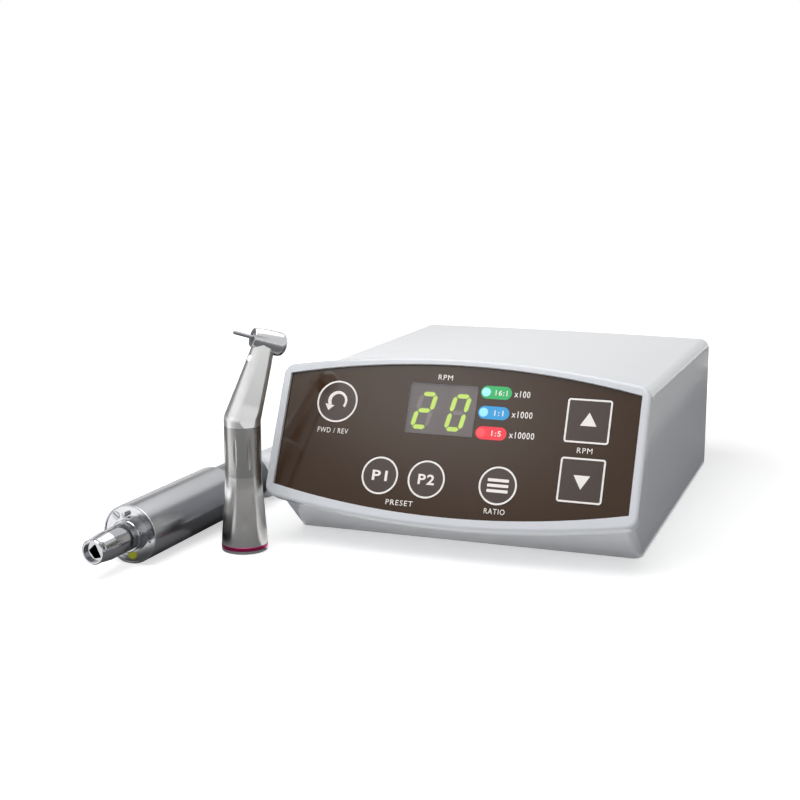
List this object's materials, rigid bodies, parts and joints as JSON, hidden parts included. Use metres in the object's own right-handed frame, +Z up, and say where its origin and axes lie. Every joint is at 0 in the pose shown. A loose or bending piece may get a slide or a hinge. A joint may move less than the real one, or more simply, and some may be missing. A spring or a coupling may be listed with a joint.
{
  "type": "dental micromotor",
  "caption": "Console with a leaning key panel, an electric motor on a coiled hose and a contra-angle handpiece that stands beside it.",
  "frame": {"origin": "centre of the console's underside, on the table", "axes": "+Z up, -Y out of the console's front where the key panel is, +X to the right seen from the front"},
  "size_m": [0.2077, 0.4103, 0.0923],
  "materials": {
    "housing": "glossy white moulded plastic",
    "base": "fine textured moulded plastic",
    "panel_film": "dark printed panel, semi-gloss",
    "key_film": "printed key cap",
    "window": "smoked clear window",
    "display_body": "display block with unlit bars",
    "segment_light": "lit bars, yellow-green",
    "lens_green": "lit green lens",
    "lens_blue": "lit blue lens",
    "lens_red": "lit red lens",
    "board": "circuit board",
    "switch_black": "small black switch",
    "transformer": "laminated core and windings",
    "screw_steel": "plated screw",
    "pad_rubber": "soft foot pad",
    "socket_black": "moulded socket",
    "socket_metal": "nickel-plated socket",
    "hose_rubber": "light grey silicone hose",
    "sleeve_metal": "satin grey metal sleeve",
    "bright_metal": "polished metal",
    "lamp_yellow": "yellow lamp lens",
    "ring_black": "sealing ring",
    "core_steel": "stacked laminations",
    "winding": "enamelled copper wire",
    "magnet": "sintered magnet",
    "bearing_steel": "bearing rings",
    "shaft_steel": "ground steel",
    "handle_metal": "satin coated metal",
    "neck_metal": "bright satin metal",
    "ring_crimson": "crimson anodised ring",
    "light_glass": "light guide end"
  },
  "bodies": {
    "console": {"cover_shell": "housing", "base_plate": "base", "front_bezel": "housing", "control_panel": "panel_film", "display_window": "window", "display_module": "display_body", "lit_segments": "segment_light", "ratio_lamp_green": "lens_green", "ratio_lamp_blue": "lens_blue", "ratio_lamp_red": "lens_red", "key_board": "board", "key_switches": "switch_black", "main_board": "board", "power_supply": "transformer", "case_screws": "screw_steel", "rubber_pads": "pad_rubber", "power_inlet": "socket_black", "switch_frame": "socket_black", "pedal_socket": "socket_black", "hose_socket": "socket_metal", "hose_plug": "socket_metal", "hose_run_socket": "hose_rubber", "hose_coil": "hose_rubber", "hose_run_side": "hose_rubber", "hose_boot": "hose_rubber", "hose_connector": "socket_black"},
    "rocker": {"power_rocker": "socket_black"},
    "reverse": {"reverse_key": "key_film"},
    "memory1": {"memory_key_1": "key_film"},
    "memory2": {"memory_key_2": "key_film"},
    "select": {"select_key": "key_film"},
    "speed_up": {"speed_up_key": "key_film"},
    "speed_down": {"speed_down_key": "key_film"},
    "motor": {"motor_sleeve": "sleeve_metal", "front_plate": "bright_metal", "plate_screws": "screw_steel", "coupling_nose": "bright_metal", "nose_ring": "ring_black", "locating_pin": "shaft_steel", "motor_lamp": "lamp_yellow", "stator_core": "core_steel", "stator_winding": "winding", "motor_bearings": "bearing_steel", "rear_cap": "sleeve_metal"},
    "rotor": {"motor_shaft": "shaft_steel", "rotor_magnet": "magnet"},
    "handpiece": {"handle_sleeve": "handle_metal", "neck_sleeve": "neck_metal", "colour_ring": "ring_crimson", "end_ring": "bright_metal", "head_shell": "bright_metal", "light_window": "light_glass", "gear_cartridge": "handle_metal", "spindle_bearings": "bearing_steel", "button_spring": "shaft_steel"},
    "input": {"input_shaft": "shaft_steel"},
    "neck": {"neck_shaft": "shaft_steel"},
    "spindle": {"chuck": "shaft_steel"},
    "bur": {"bur": "bright_metal"},
    "button": {"head_button": "bright_metal"}
  },
  "joints": [
    {"name": "reverse_press", "type": "slide", "parent": "console", "child": "reverse", "axis": [0, 0.9, -0.4359], "range_m": [0, 0.0004], "stiffness_N_per_m": 400},
    {"name": "memory1_press", "type": "slide", "parent": "console", "child": "memory1", "axis": [0, 0.9, -0.4359], "range_m": [0, 0.0004], "stiffness_N_per_m": 400},
    {"name": "memory2_press", "type": "slide", "parent": "console", "child": "memory2", "axis": [0, 0.9, -0.4359], "range_m": [0, 0.0004], "stiffness_N_per_m": 400},
    {"name": "select_press", "type": "slide", "parent": "console", "child": "select", "axis": [0, 0.9, -0.4359], "range_m": [0, 0.0004], "stiffness_N_per_m": 400},
    {"name": "speed_up_press", "type": "slide", "parent": "console", "child": "speed_up", "axis": [0, 0.9, -0.4359], "range_m": [0, 0.0004], "stiffness_N_per_m": 400},
    {"name": "speed_down_press", "type": "slide", "parent": "console", "child": "speed_down", "axis": [0, 0.9, -0.4359], "range_m": [0, 0.0004], "stiffness_N_per_m": 400},
    {"name": "rocker_tilt", "type": "hinge", "parent": "console", "child": "rocker", "pos_m": [0.05, 0.0845, 0.044], "axis": [1, 0, 0], "range_deg": [0, 16]},
    {"name": "motor_pull", "type": "slide", "parent": "console", "child": "motor", "axis": [-0.0558, -0.9984, 0], "range_m": [0, 0.03]},
    {"name": "rotor_turn", "type": "hinge", "parent": "motor", "child": "rotor", "pos_m": [-0.117, -0.162, 0.0122], "axis": [-0.0558, -0.9984, 0], "continuous": true},
    {"name": "handpiece_lift", "type": "slide", "parent": "console", "child": "handpiece", "axis": [0, 0, 1], "range_m": [0, 0.12]},
    {"name": "input_turn", "type": "hinge", "parent": "handpiece", "child": "input", "pos_m": [-0.0825, -0.128, 0.02], "axis": [0, 0, 1], "continuous": true},
    {"name": "neck_turn", "type": "hinge", "parent": "handpiece", "child": "neck", "pos_m": [-0.0825, -0.128, 0.055], "axis": [0.232, 0.2042, 0.9511], "continuous": true},
    {"name": "spindle_turn", "type": "hinge", "parent": "handpiece", "child": "spindle", "pos_m": [-0.07473, -0.12116, 0.08686], "axis": [-0.7139, -0.6283, 0.309], "continuous": true},
    {"name": "bur_out", "type": "slide", "parent": "spindle", "child": "bur", "axis": [-0.7139, -0.6283, 0.309], "range_m": [0, 0.012]},
    {"name": "button_press", "type": "slide", "parent": "handpiece", "child": "button", "axis": [-0.7139, -0.6283, 0.309], "range_m": [0, 0.0007], "stiffness_N_per_m": 3000}
  ],
  "couplings": [
    {"joint": "neck_turn", "follows": "input_turn", "ratio": 2.5},
    {"joint": "spindle_turn", "follows": "input_turn", "ratio": -5}
  ]
}
